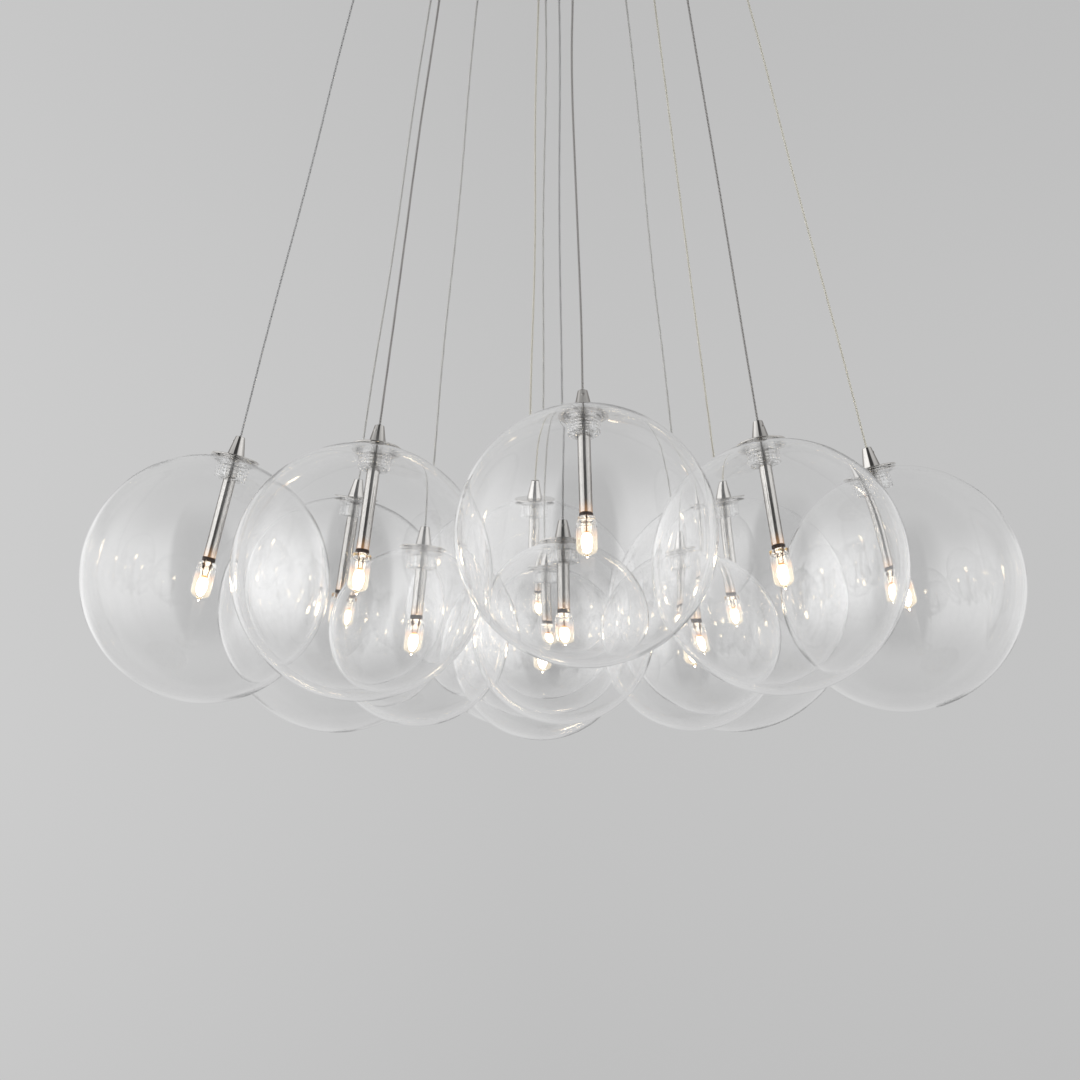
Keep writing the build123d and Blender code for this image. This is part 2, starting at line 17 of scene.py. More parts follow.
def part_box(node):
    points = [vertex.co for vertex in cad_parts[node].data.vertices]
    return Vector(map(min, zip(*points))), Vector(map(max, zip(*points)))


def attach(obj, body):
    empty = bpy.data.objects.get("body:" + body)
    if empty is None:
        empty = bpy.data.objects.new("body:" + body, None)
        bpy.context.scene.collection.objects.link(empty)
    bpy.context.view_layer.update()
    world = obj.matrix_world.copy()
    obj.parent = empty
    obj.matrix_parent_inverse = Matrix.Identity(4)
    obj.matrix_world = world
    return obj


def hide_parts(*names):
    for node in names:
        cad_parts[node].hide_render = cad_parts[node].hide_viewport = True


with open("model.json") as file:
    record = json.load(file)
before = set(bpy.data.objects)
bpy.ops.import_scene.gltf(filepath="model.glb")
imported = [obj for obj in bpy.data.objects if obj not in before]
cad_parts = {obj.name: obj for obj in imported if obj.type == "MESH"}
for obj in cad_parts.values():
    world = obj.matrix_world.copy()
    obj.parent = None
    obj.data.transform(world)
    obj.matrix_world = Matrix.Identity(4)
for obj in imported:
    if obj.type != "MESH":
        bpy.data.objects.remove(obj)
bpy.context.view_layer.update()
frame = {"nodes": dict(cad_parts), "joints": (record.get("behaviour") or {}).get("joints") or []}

MM = 0.001

# %% [markdown]
# ## Where each pendant hangs
# Every pendant leans a little, because the globes hold each other apart. Instead of writing twelve positions down
# again, they are read back from the frame: the swing joint gives the pivot under the canopy and the direction that
# the pendant leans in, and the globe's own box gives its middle and radius. Each pendant then has a frame of its
# own, with its origin at the globe's middle and +Z up its cable, so that one upright drawing serves all twelve.

# %% Read the pendants from the joints
Pendant = namedtuple("Pendant", "name radius large pivot hang place")
joints = {joint["name"]: joint for joint in frame["joints"]}
NAMES = ["%02d" % (k + 1) for k in range(12)]
LARGE_ABOVE = 0.07


def measure_pendant(name):
    low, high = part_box("globe_" + name)
    radius = (high.x - low.x) / 2
    middle = Vector(((low.x + high.x) / 2, (low.y + high.y) / 2, low.z + radius))
    pivot = Vector(joints["swing_" + name]["pos_m"])
    up = -Vector(joints["unscrew_" + name]["axis"]).normalized()
    across = -Vector(joints["swing_" + name]["axis"]).normalized()
    outward = across.cross(up)
    turn_to = Matrix((outward, across, up)).transposed().to_4x4()
    place = Matrix.Translation(middle) @ turn_to
    return Pendant(name, radius, radius > LARGE_ABOVE, pivot, (pivot - middle).length, place)


pendants = [measure_pendant(name) for name in NAMES]
for p in pendants:
    print("pendant", p.name, "globe", round(2 * p.radius / MM), "mm, hangs", round(p.hang / MM), "mm")

# %% [markdown]
# ## The camera
# The picture was taken with a long lens from a little below the globes, looking slightly up, so the cables run
# out of the top of the frame and the canopy stays above it. A long lens far away keeps the globes round. The
# focal length is worked out from how many pixels of the picture one metre takes up at one metre's distance.

# %% Set the camera up
PICTURE_WIDTH = 1080
FOCAL_PIXELS = 5390
SENSOR_WIDTH = 36.0
CAMERA_DISTANCE = 3.476
CAMERA_BELOW = radians(6.81)
AIM = Vector((-0.0076, 0.0, -0.4219))

camera = bpy.data.objects.new("camera", bpy.data.cameras.new("camera"))
bpy.context.scene.collection.objects.link(camera)
camera.data.sensor_width = SENSOR_WIDTH
camera.data.lens = SENSOR_WIDTH * FOCAL_PIXELS / PICTURE_WIDTH
camera.data.clip_end = 60
camera.location = AIM + CAMERA_DISTANCE * Vector((0, -cos(CAMERA_BELOW), -sin(CAMERA_BELOW)))
camera.rotation_mode = "QUATERNION"
camera.rotation_quaternion = (AIM - camera.location).to_track_quat("-Z", "Y")
bpy.context.scene.camera = camera
print("lens", round(camera.data.lens, 1), "mm, camera", round(-camera.location.y, 2), "m in front")

# %% [markdown]
# ## Writing finishes as sums
# A finish in Blender is a tree of nodes. Long trees are hard to read as links, so here a small class wraps one
# output socket and lets Python's own signs add the Math nodes: `1 - mask` adds a Subtract node and gives back its
# output. Every other node comes from one method that takes its type, its settings and what goes into its sockets.

# %% A wire that does sums, and a recipe that holds the nodes
class Wire:
    def __init__(self, recipe, socket):
        self.recipe = recipe
        self.socket = socket

    def maths(self, operation, *values):
        return self.recipe.node("Math", {"operation": operation}, dict(enumerate(values)))

    def __add__(self, other):
        return self.maths("ADD", self, other)

    def __radd__(self, other):
        return self.maths("ADD", other, self)

    def __sub__(self, other):
        return self.maths("SUBTRACT", self, other)

    def __rsub__(self, other):
        return self.maths("SUBTRACT", other, self)

    def __mul__(self, other):
        return self.maths("MULTIPLY", self, other)

    def __rmul__(self, other):
        return self.maths("MULTIPLY", other, self)

    def __truediv__(self, other):
        return self.maths("DIVIDE", self, other)

    def __pow__(self, other):
        return self.maths("POWER", self, other)

    def __neg__(self):
        return self.maths("MULTIPLY", self, -1)

    def __abs__(self):
        return self.maths("ABSOLUTE", self)

    def between(self, low, high, kind="SMOOTHSTEP"):
        """0 up to low, 1 from high on, and a smooth (or even) step from one to the other."""
        limits = {"Value": self, "From Min": low, "From Max": high}
        return self.recipe.node("MapRange", {"interpolation_type": kind}, limits, "Result")

    def towards(self, other, share):
        """This value where share is 0 and the other where it is 1."""
        return self + (other - self) * share


class Recipe:
    def __init__(self, tree):
        self.tree = tree
        tree.nodes.clear()

    def node(self, kind, settings=None, sockets=None, output=0):
        made = self.tree.nodes.new("ShaderNode" + kind)
        for key, value in (settings or {}).items():
            setattr(made, key, value)
        for key, value in (sockets or {}).items():
            if isinstance(value, Wire):
                self.tree.links.new(value.socket, made.inputs[key])
            else:
                made.inputs[key].default_value = value
        return Wire(self, made.outputs[output])

    def axes(self, vector):
        """The three parts of a vector, each as a wire."""
        first = self.node("SeparateXYZ", {}, {"Vector": vector}, "X")
        outputs = first.socket.node.outputs
        return first, Wire(self, outputs["Y"]), Wire(self, outputs["Z"])

    def blend(self, share, first, second):
        """A colour between two: Mix in colour, because a Math node would turn it grey."""
        return self.node("Mix", {"data_type": "RGBA"}, {0: share, 6: first, 7: second}, 2)

    def grain(self, size_mm, stretch=(1, 1, 1), detail=3.0):
        """Noise that follows the piece, with grains of about that size, drawn out along an axis by stretch."""
        spot = self.node("TexCoord", {}, {}, "Object")
        scale = [1 / (size_mm * MM * longer) for longer in stretch]
        spot = self.node("Mapping", {}, {"Vector": spot, "Scale": scale})
        return self.node("TexNoise", {}, {"Vector": spot, "Scale": 1.0, "Detail": detail}, "Fac")

    def relief(self, height, depth_mm, strength=1.0):
        """A bump: height 1 stands depth_mm above height 0."""
        sockets = {"Height": height, "Strength": strength, "Distance": depth_mm * MM}
        return self.node("Bump", {}, sockets)

    def surface(self, shader, of="Material"):
        """The shader that the material, or the world, ends in."""
        end = self.tree.nodes.new("ShaderNodeOutput" + of)
        self.tree.links.new(shader.socket, end.inputs["Surface"])


def new_finish(name):
    material = bpy.data.materials.new(name)
    material.use_nodes = True
    return material, Recipe(material.node_tree)


print("a finish starts from", len(new_finish("trial")[0].node_tree.nodes), "nodes")
bpy.data.materials.remove(bpy.data.materials["trial"])

# %% [markdown]
# ## The studio round the lamp
# Clear glass and chrome have no colour of their own: they show the room. In the picture the room is a grey
# backdrop, a little paler at the height of the lamp and to the left. Big soft white sheets stand to the left and
# right, brightest at the height of the lamp, and the camera's side is dark, which draws the dark line down the
# middle of each chrome tube and the dark middle of each globe. Pale walls beyond the backdrop's two sides light
# up the rims of the globes. Below and above what the camera sees, the backdrop is paler too, or the globes' lower
# rims would be drawn with a dark line. The world shader paints that room by direction.

# %% Measure directions
world = bpy.data.worlds.new("studio")
bpy.context.scene.world = world
world.use_nodes = True
room = Recipe(world.node_tree)
x, y, z = room.axes(room.node("TexCoord", {}, {}, "Generated"))
level = (x * x + y * y) ** 0.5
to_camera = -y / level
to_back = y / level
on_left = (-x).between(-0.01, 0.01)


def sided(left, right):
    """One value on the left of the room and another on its right."""
    return right + (left - right) * on_left


print("directions:", len(world.node_tree.nodes), "nodes")

# %% The backdrop, as it is looked at
BACKDROP = 0.515
BACKDROP_BAND = 0.035
BACKDROP_LEFT = 0.055
WALL_LEFT = 0.92
WALL_RIGHT = 0.76
BELOW = 0.09
ABOVE = 0.04

band = 1 - abs(z - 0.11).between(0.02, 0.12)
wall = abs(x).between(0.20, 0.36) * (1 - abs(z - 0.10).between(0.12, 0.35))
seen = BACKDROP + BACKDROP_BAND * band + BACKDROP_LEFT * (-x).between(0, 0.1, "LINEAR")
seen = seen + BELOW * (-z).between(-0.01, 0.2) + ABOVE * z.between(0.24, 0.45)
seen = seen.towards(sided(WALL_LEFT, WALL_RIGHT), wall)
print("backdrop from", BACKDROP, "to", WALL_LEFT)

# %% [markdown]
# The same room as metal and glass mirror it. Angles are counted from the line between the camera and the
# backdrop: the cosine is 1 straight at one of them and 0 out to the side. Each step of the recipe lays the next
# part of the room over the one before.

# %% The room, as it is mirrored
SHEET_LEFT = 1.65
SHEET_RIGHT = 1.25
SHEET_ENDS = 0.50
CAMERA_SIDE = 0.07
UP_AND_DOWN = 0.50

sheets = sided(SHEET_LEFT, SHEET_RIGHT).towards(SHEET_ENDS, z.between(0.30, 0.88) + (-z).between(0.05, 0.75))
mirrored = sheets.towards(seen, to_back.between(sided(0.1, -0.1), sided(0.6, 0.35)))
mirrored = mirrored.towards(CAMERA_SIDE, to_camera.between(sided(0.85, 0.76), sided(0.91, 0.96)))
mirrored = mirrored.towards(UP_AND_DOWN, abs(z).between(0.75, 0.97))
print("sheets", SHEET_LEFT, "and", SHEET_RIGHT, "camera side", CAMERA_SIDE)

# %% [markdown]
# Which of the two a ray meets is read from the Light Path node. A ray that comes from the camera, through glass or
# off something shiny is one that looks; once it has been mirrored, even inside the glass, its glossy depth is 1 or
# more, and it gets the mirrored room. Every other ray only carries light to plain surfaces, and that light is even.

# %% Join the backdrop, the mirrored room and the even light
AMBIENT = 0.55
rays = room.node("LightPath", {}, {}, "Is Camera Ray")
paths = rays.socket.node.outputs
LOOKING = ("Is Transmission Ray", "Is Glossy Ray", "Glossy Depth")
through, glossy, mirrors = (Wire(room, paths[name]) for name in LOOKING)
looks = rays.maths("MAXIMUM", rays.maths("MAXIMUM", rays, through), glossy)
tone = seen.towards(mirrored, mirrors.maths("MINIMUM", mirrors, 1))
tone = AMBIENT + (tone - AMBIENT) * looks
grey = room.node("CombineColor", {}, {0: tone, 1: tone, 2: tone})
backdrop = room.node("Background", {}, {"Color": grey, "Strength": 1.0})
room.surface(backdrop, "World")
print("studio world:", len(world.node_tree.nodes), "nodes")

# %% [markdown]
# ## Soft lamps and a floor
# Two large sheets of light left and right and a weaker one overhead give plain surfaces their form and the
# floor its shadow. Only plain surfaces see these lamps, because the world already shows the white sheets to the
# metal and the glass. The floor is a pale sheet three metres under the ceiling, and metal and glass leave it
# out as well, or its far edge would draw a hard line across every globe.

# %% Lamps and floor
FLOOR_BELOW = 3.0
FLOOR_SIZE = 60.0


def soft_lamp(name, place, size, power):
    lamp = bpy.data.objects.new(name, bpy.data.lights.new(name, "AREA"))
    lamp.data.shape = "RECTANGLE"
    lamp.data.size, lamp.data.size_y = size
    lamp.data.energy = power
    lamp.location = place
    lamp.rotation_mode = "QUATERNION"
    lamp.rotation_quaternion = (AIM - lamp.location).to_track_quat("-Z", "Y")
    lamp.visible_camera = lamp.visible_glossy = lamp.visible_transmission = False
    bpy.context.scene.collection.objects.link(lamp)


soft_lamp("sheet_left", Vector((-2.4, -1.3, -0.1)), (1.6, 2.0), 18)
soft_lamp("sheet_right", Vector((2.4, -1.3, -0.1)), (1.6, 2.0), 15)
soft_lamp("sheet_overhead", Vector((0.3, 0.6, 2.2)), (2.4, 2.4), 30)

floor_mesh = bpy.data.meshes.new("floor")
half = FLOOR_SIZE / 2
corners = [(-half, -half), (half, -half), (half, half), (-half, half)]
floor_mesh.from_pydata([(a, b, -FLOOR_BELOW) for a, b in corners], [], [(0, 1, 2, 3)])
floor = bpy.data.objects.new("floor", floor_mesh)
bpy.context.scene.collection.objects.link(floor)
floor.visible_glossy = floor.visible_transmission = False
floor_paint, recipe = new_finish("floor_paint")
mottle = recipe.grain(300, detail=2.0)
paint = recipe.blend(mottle, (0.66, 0.66, 0.66, 1), (0.72, 0.72, 0.72, 1))
recipe.surface(recipe.node("BsdfPrincipled", {}, {"Base Color": paint, "Roughness": 0.8}))
floor_mesh.materials.append(floor_paint)
print("floor", FLOOR_BELOW, "m under the ceiling")

# %% [markdown]
# ## Making and placing pieces
# Most of this lamp is turned: spun round one axis like a pot on a wheel. So the first tool is a lathe that takes
# a half outline as (radius, height) points in millimetres and spins it into a closed mesh. Round stretches of an
# outline come from an arc helper, and a thread is a small push in or out that winds round as it climbs.

# %% A lathe
def arc(middle, radius, start, end, steps):
    """Points on a circle round (radius, height) middle, from one angle in degrees to another."""
    angles = [radians(start + (end - start) * k / steps) for k in range(steps + 1)]
    return [(middle[0] + radius * cos(a), middle[1] + radius * sin(a)) for a in angles]


def turn(name, outline, sides=48, thread=None, ring=False):
    """A mesh spun from an outline in millimetres: pole to pole, or round a ring where the outline is a loop."""
    points, rows, faces = [], [], []
    for radius, height in outline:
        if radius < 1e-6:
            rows.append([len(points)] * sides)
            points.append((0, 0, height * MM))
            continue
        rows.append(range(len(points), len(points) + sides))
        for k in range(sides):
            angle = 2 * pi * k / sides
            r = radius + (thread(radius, height, angle) if thread else 0)
            points.append((r * cos(angle) * MM, r * sin(angle) * MM, height * MM))
    for low, high in zip(rows, rows[1:] + (rows[:1] if ring else [])):
        for k in range(sides):
            n = (k + 1) % sides
            corners = dict.fromkeys((low[k], low[n], high[n], high[k]))
            if len(corners) > 2:
                faces.append(tuple(corners))
    mesh = bpy.data.meshes.new(name)
    mesh.from_pydata(points, [], faces)
    return mesh


def smooth(mesh, sharp_above=35):
    """Smooth shading, with edges that turn by more than this many degrees kept crisp."""
    mesh.shade_smooth()
    mesh.set_sharp_from_angle(angle=radians(sharp_above))
    return mesh


print("lathe ready: a test bead has", len(turn("bead", arc((0, 0), 1, -90, 90, 8), 12).polygons), "faces")
bpy.data.meshes.remove(bpy.data.meshes["bead"])

# %% Put a piece in its place
def put(name, mesh, finish, place, body, replaced=()):
    """A piece of the lamp: its mesh, finish and place, the body that carries it and the CAD nodes it stands for."""
    if finish and not mesh.materials:
        mesh.materials.append(finish)
    piece = bpy.data.objects.new(name, mesh)
    bpy.context.scene.collection.objects.link(piece)
    piece.matrix_world = place
    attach(piece, body)
    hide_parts(*replaced)
    return piece


# %% [markdown]
# ## Finish: clear blown glass
# The globes are plain clear glass. Light mostly goes straight through, bends at the curved rims and throws back
# a few per cent as reflections, which one glass shader with an index of refraction of about 1.5 does by itself.
# Blown glass is never quite even, so a faint bump with long waves makes what is behind it swim a little. Lamps
# have to reach the bulb's stem inside, and a glass shader blocks their shadow rays, so for those rays alone
# the glass is mixed with a transparent shader.

# %% Clear glass
GLASS_INDEX = 1.53


def make_glass(name, wave_mm, wave_depth_mm, tint=(1, 1, 1, 1), index=GLASS_INDEX):
    material, recipe = new_finish(name)
    waves = recipe.relief(recipe.grain(wave_mm, detail=1.0), wave_depth_mm)
    sockets = {
        "Base Color": tint,
        "Roughness": 0.0,
        "IOR": index,
        "Transmission Weight": 1.0,
        "Normal": waves,
    }
    glass = recipe.node("BsdfPrincipled", {}, sockets)
    clear = recipe.node("BsdfTransparent", {}, {"Color": tint})
    for_lamps = recipe.node("LightPath", {}, {}, "Is Shadow Ray")
    recipe.surface(recipe.node("MixShader", {}, {0: for_lamps, 1: glass, 2: clear}))
    return material


clear_glass = make_glass("clear_glass", 45, 0.25)
print("clear glass, index", GLASS_INDEX)

# %% [markdown]
# ## The globes
# A globe is blown into a mould, and its mouth is turned inward as a short neck with a rolled thread. The whole
# wall is one outline: up the outside from the bottom, over the lip, down inside the neck's bore, round its end,
# back up its outside and round the inner wall to the bottom again. Refraction only looks right when glass has
# both its faces, so the wall is modelled with its real thickness, a little heavier at the bottom where the hot
# glass settles.

# %% Spin the globes
GLASS_WALL = 1.8
WALL_SETTLES = 0.3
NECK_BORE = 9.0
NECK_WALL = 1.6
NECK_LENGTH = 13.0
NECK_ROOT = 2.0
LIP = 0.7
THREAD_PITCH = 2.2
THREAD_DEPTH = 0.32
NECK_THREAD_DEPTH = 0.55
THREAD_STEP = 0.3
GLOBE_STEPS = 56
GLOBE_SIDES = 96


def climb(start, end, step):
    """Heights from start to end, about a step apart."""
    count = max(2, round(abs(end - start) / step))
    return [start + (end - start) * k / count for k in range(count + 1)]


def globe_outline(radius):
    inner = radius - GLASS_WALL
    rise = WALL_SETTLES
    shoulder = NECK_BORE + LIP
    lip_z = sqrt(radius**2 - shoulder**2)
    lip_angle = degrees(atan2(lip_z, shoulder))
    neck_end = sqrt(radius**2 - NECK_BORE**2) - NECK_LENGTH + NECK_WALL / 2
    outside = NECK_BORE + NECK_WALL
    root_r = outside + NECK_ROOT
    root_z = rise + sqrt((inner - NECK_ROOT) ** 2 - root_r**2)
    root_angle = degrees(atan2(root_z - rise, root_r))
    outline = [(0, -radius)] + arc((0, 0), radius, -90, lip_angle, GLOBE_STEPS)[1:]
    outline += arc((shoulder, lip_z - LIP), LIP, lip_angle, 180, 5)
    outline += [(NECK_BORE, z) for z in climb(lip_z - 2 * LIP, neck_end, THREAD_STEP)]
    outline += arc((NECK_BORE + NECK_WALL / 2, neck_end), NECK_WALL / 2, 180, 360, 6)[1:-1]
    outline += [(outside, z) for z in climb(neck_end, root_z, THREAD_STEP)]
    outline += arc((root_r, root_z), NECK_ROOT, 180, root_angle, 6)[1:]
    outline += arc((0, rise), inner, root_angle, -90, GLOBE_STEPS)[1:-1]
    return outline + [(0, rise - inner)]


def neck_thread(radius):
    """The rolled thread: both faces of the neck wave together, most in the middle of its length."""
    top = sqrt(radius**2 - NECK_BORE**2)
    middle = top - NECK_LENGTH / 2

    def push(r, z, angle):
        if r > NECK_BORE + NECK_WALL + 0.01 or z > top - LIP:
            return 0
        fade = max(0, 1 - (abs(z - middle) / (NECK_LENGTH / 2)) ** 6)
        wave = 0.5 - 0.5 * cos(2 * pi * (z / THREAD_PITCH) - angle)
        return NECK_THREAD_DEPTH * fade * (wave if r < NECK_BORE + NECK_WALL / 2 else wave - 1)
    return push


globe_meshes = {}
for p in pendants:
    radius = round(p.radius / MM, 1)
    if radius not in globe_meshes:
        shape = turn("globe_%d" % (2 * radius), globe_outline(radius), GLOBE_SIDES, neck_thread(radius))
        globe_meshes[radius] = smooth(shape, 60)
    blown = globe_meshes[radius].copy()
    blown.transform(p.place)
    put("glass_globe_" + p.name, blown, clear_glass, Matrix.Identity(4), "globe_body_" + p.name,
        ["globe_" + p.name])
print("globes:", {size: len(mesh.polygons) for size, mesh in globe_meshes.items()}, "faces by radius")

# %% [markdown]
# ## Finish: polished chrome
# The stem's metal is chromed brass, polished after turning. Chrome is a mirror, so nearly all of its look is the
# studio that it reflects. What makes it real is what breaks the mirror: very fine lathe rings across the piece,
# and a faint cloud of polish that changes the roughness from place to place. On tubes and grips a dark specular
# tint is painted shade: it darkens the mirror at a steep slant and outlines each tube and cone with a thin dark
# line.
# The lower end of each tube has a warm glow painted on, a painted reflection of its bulb's light.

# %% Chrome, turned and spun
CHROME = (0.60, 0.585, 0.565, 1)
# A dark specular tint: painted shade that outlines tubes and cones where the chrome turns away.
CHROME_PAINTED_EDGE_SHADE = (0.22, 0.20, 0.19, 1)
DULLER = 0.93
# Warm emission painted on the tube's lower end: a painted reflection of the bulb's light.
PAINTED_BULB_GLOW = (0.26, 0.12, 0.03, 1)
PAINTED_GLOW_UP_TO = 12
NO_TINT = (1, 1, 1, 1)
ROUND_THE_LATHE = (60, 60, 1)


def make_chrome(name, ring_mm, depth_mm, roughness, colour=CHROME, painted_edge_shade=NO_TINT, stretch=ROUND_THE_LATHE, painted_glow_mm=0):
    material, recipe = new_finish(name)
    rings = recipe.grain(ring_mm, stretch, detail=2.0)
    cloud = recipe.grain(6.0, detail=2.0)
    dull = tuple(DULLER * part for part in colour[:3]) + (1,)
    least, most = roughness
    sockets = {
        "Base Color": recipe.blend(cloud.between(0.35, 0.75), colour, dull),
        "Metallic": 1.0,
        # A dark tint here is painted shade along the piece's outline.
        "Specular Tint": painted_edge_shade,
        "Roughness": least + (most - least) * cloud,
        "Normal": recipe.relief(rings, depth_mm),
    }
    if painted_glow_mm:
        # Painted glow: warm emission that fades up the tube from its lower end.
        _, _, up = recipe.axes(recipe.node("TexCoord", {}, {}, "Object"))
        painted_glow = (1 - (up * (1 / MM)).between(0, painted_glow_mm)) ** 2
        sockets["Emission Color"] = recipe.blend(painted_glow, (0, 0, 0, 1), PAINTED_BULB_GLOW)
        sockets["Emission Strength"] = 1.0
    recipe.surface(recipe.node("BsdfPrincipled", {}, sockets))
    return material


chrome_turned = make_chrome("chrome_turned", 0.25, 0.0010, (0.03, 0.08))
chrome_tube = make_chrome("chrome_tube", 0.25, 0.0006, (0.015, 0.04), painted_edge_shade=CHROME_PAINTED_EDGE_SHADE, painted_glow_mm=PAINTED_GLOW_UP_TO)
chrome_grip = make_chrome("chrome_grip", 0.20, 0.0008, (0.03, 0.07), painted_edge_shade=CHROME_PAINTED_EDGE_SHADE)
print("chrome finishes:", chrome_turned.name, chrome_tube.name, chrome_grip.name)

# %% [markdown]
# ## The grip, the cover disc and the tube
# A small chromed cone grips the cable, with a grub screw in its side. Under it a thin disc covers the mouth of
# the globe, and a tube runs down to the bulb. They are all turned, so each is one outline. Real turned edges are
# never knife sharp: every outline breaks its corners with small chamfers or arcs that catch a line of light.

# %% Sizes of the stem
TUBE = 4.0
TUBE_WALL = 0.6
TUBE_INTO_GRIP = 5.0
TUBE_BELOW_DISC = {True: 66.0, False: 45.0}
DISC = 16.0
DISC_T = 1.0
GRIP_BASE = 5.75
GRIP_TOP = 2.9
GRIP_HEIGHT = 14.0
GRIP_SHOULDER = 1.2
CABLE = 0.7
CABLE_INTO_GRIP = 7.0
REST_ON_LIP = 0.3
FIT = 0.05
BREAK = 0.2


def disc_underside(p):
    """Height of the cover disc's underside above the globe's middle, in millimetres."""
    return sqrt((p.radius / MM) ** 2 - NECK_BORE**2) + REST_ON_LIP


def stem_place(p):
    """The stem's frame: on the cable's line, at the cover disc's underside."""
    return p.place @ Matrix.Translation((0, 0, disc_underside(p) * MM))


# %% Turn the grip, the disc and the tube
GRUB = 1.0
GRUB_BELOW_TOP = 4.0
grip_foot = DISC_T
grip_top = DISC_T + GRIP_HEIGHT

grip_outline = [
    (TUBE + FIT, grip_foot),
    (GRIP_BASE - BREAK, grip_foot),
    (GRIP_BASE, grip_foot + BREAK),
    (GRIP_BASE, grip_foot + GRIP_SHOULDER - BREAK),
    (GRIP_BASE - BREAK / 2, grip_foot + GRIP_SHOULDER + BREAK / 2),
    (GRIP_TOP + BREAK / 2, grip_top - BREAK),
    (GRIP_TOP - BREAK, grip_top),
    (CABLE + 2 * BREAK, grip_top),
    (CABLE, grip_top - BREAK),
    (CABLE, grip_top - CABLE_INTO_GRIP),
    (0, grip_top - CABLE_INTO_GRIP),
    (0, grip_foot + TUBE_INTO_GRIP),
    (TUBE + FIT, grip_foot + TUBE_INTO_GRIP),
]
disc_rim = DISC_T / 2
DISC_SIDES = 96
disc_outline = [(TUBE + FIT, 0)] + arc((DISC - disc_rim, disc_rim), disc_rim, -90, 90, 6) + [(TUBE + FIT, DISC_T)]
print("grip", len(grip_outline), "points, disc", len(disc_outline), "points")


def tube_outline(below):
    bore = TUBE - TUBE_WALL
    top = below + grip_foot + TUBE_INTO_GRIP
    return [(bore, 0), (TUBE - BREAK, 0), (TUBE, BREAK), (TUBE, top), (bore, top)]


# %% [markdown]
# ## The grub screw
# The screw that bites the cable stands just inside the cone's side, with a hexagon socket in its end for the
# key. The cone would hide a plain cylinder, so the screw is turned with its socket already in it: six sides
# where the key goes, and round outside.

# %% Turn the grub screw
def make_grub():
    reach = GRIP_TOP + (GRIP_BASE - GRIP_TOP) * GRUB_BELOW_TOP / (GRIP_HEIGHT - GRIP_SHOULDER) - CABLE + 0.25
    socket = GRUB * 0.5
    outline = [
        (0, 0), (GRUB * 0.6, 0), (GRUB, GRUB * 0.5), (GRUB, reach - BREAK), (GRUB - BREAK, reach),
        (socket, reach), (socket * 0.98, reach - GRUB * 0.7), (0, reach - GRUB * 0.9),
    ]

    def hexagon(r, z, angle):
        if r > socket or z < reach / 2:
            return 0
        return r * (cos(pi / 6) / cos((angle % (pi / 3)) - pi / 6) - 1) * 0.9
    return smooth(turn("grub_screw", outline, 36, hexagon))


grub_mesh = make_grub()
grub_place = Matrix.Translation((CABLE * MM, 0, (grip_top - GRUB_BELOW_TOP) * MM)) @ Matrix.Rotation(pi / 2, 4, "Y")
print("grub screw:", len(grub_mesh.polygons), "faces")

# %% [markdown]
# ## Finish: clear moulded plastic
# The plug that the neck screws on to is moulded in clear plastic. It bends light a little less than glass does,
# and it keeps a trace of the mould: a faint fine ripple over its faces.

# %% The screw plug
clear_plastic = make_glass("clear_plastic", 3.0, 0.02, (0.97, 0.975, 0.975, 1), 1.47)
PLUG = 8.55
PLUG_LENGTH = 14.0
PLUG_LEAD_IN = 0.8
PLUG_FLANGE = 1.1


def plug_thread(r, z, angle):
    if r < PLUG - 0.01 or z > -PLUG_FLANGE:
        return 0
    fade = min(1, (z + PLUG_LENGTH) / THREAD_PITCH)
    return THREAD_DEPTH * fade * (0.5 - 0.5 * cos(2 * pi * (z / THREAD_PITCH) - angle))


plug_outline = [(TUBE + FIT, -PLUG_LENGTH), (PLUG - PLUG_LEAD_IN, -PLUG_LENGTH)]
plug_outline += [(PLUG, z) for z in climb(PLUG_LEAD_IN - PLUG_LENGTH, -0.05, THREAD_STEP)]
plug_outline += [(TUBE + FIT, -0.05)]
plug_mesh = smooth(turn("screw_plug", plug_outline, 72, plug_thread, ring=True), 50)
print("screw plug:", len(plug_mesh.polygons), "faces")

# %% [markdown]
# ## The lampholder
# At the tube's end sits a small two-pin lampholder: black heat-proof resin with a satin skin. Only its ring
# shows, but the spigot inside the tube and the two pin holes are there too, because the bulb can be pulled out.
# Its face is a disc with two round holes, which a lathe can't turn, so the holes are cut with Blender's Boolean
# modifier, which is then applied.

# %% Carve one mesh out of another
def carved(mesh, cutters):
    """The mesh with the cutters' shapes cut out of it, its modifiers applied."""
    solid = bpy.data.objects.new("carving", mesh)
    tools = [bpy.data.objects.new("cutter", cutter) for cutter in cutters]
    for made in [solid] + tools:
        bpy.context.scene.collection.objects.link(made)
    for tool in tools:
        cut = solid.modifiers.new("cut", "BOOLEAN")
        cut.operation, cut.solver, cut.object = "DIFFERENCE", "EXACT", tool
    ready = solid.evaluated_get(bpy.context.evaluated_depsgraph_get())
    result = bpy.data.meshes.new_from_object(ready)
    result.name = mesh.name + "_carved"
    for made in [solid] + tools:
        bpy.data.objects.remove(made)
    return result


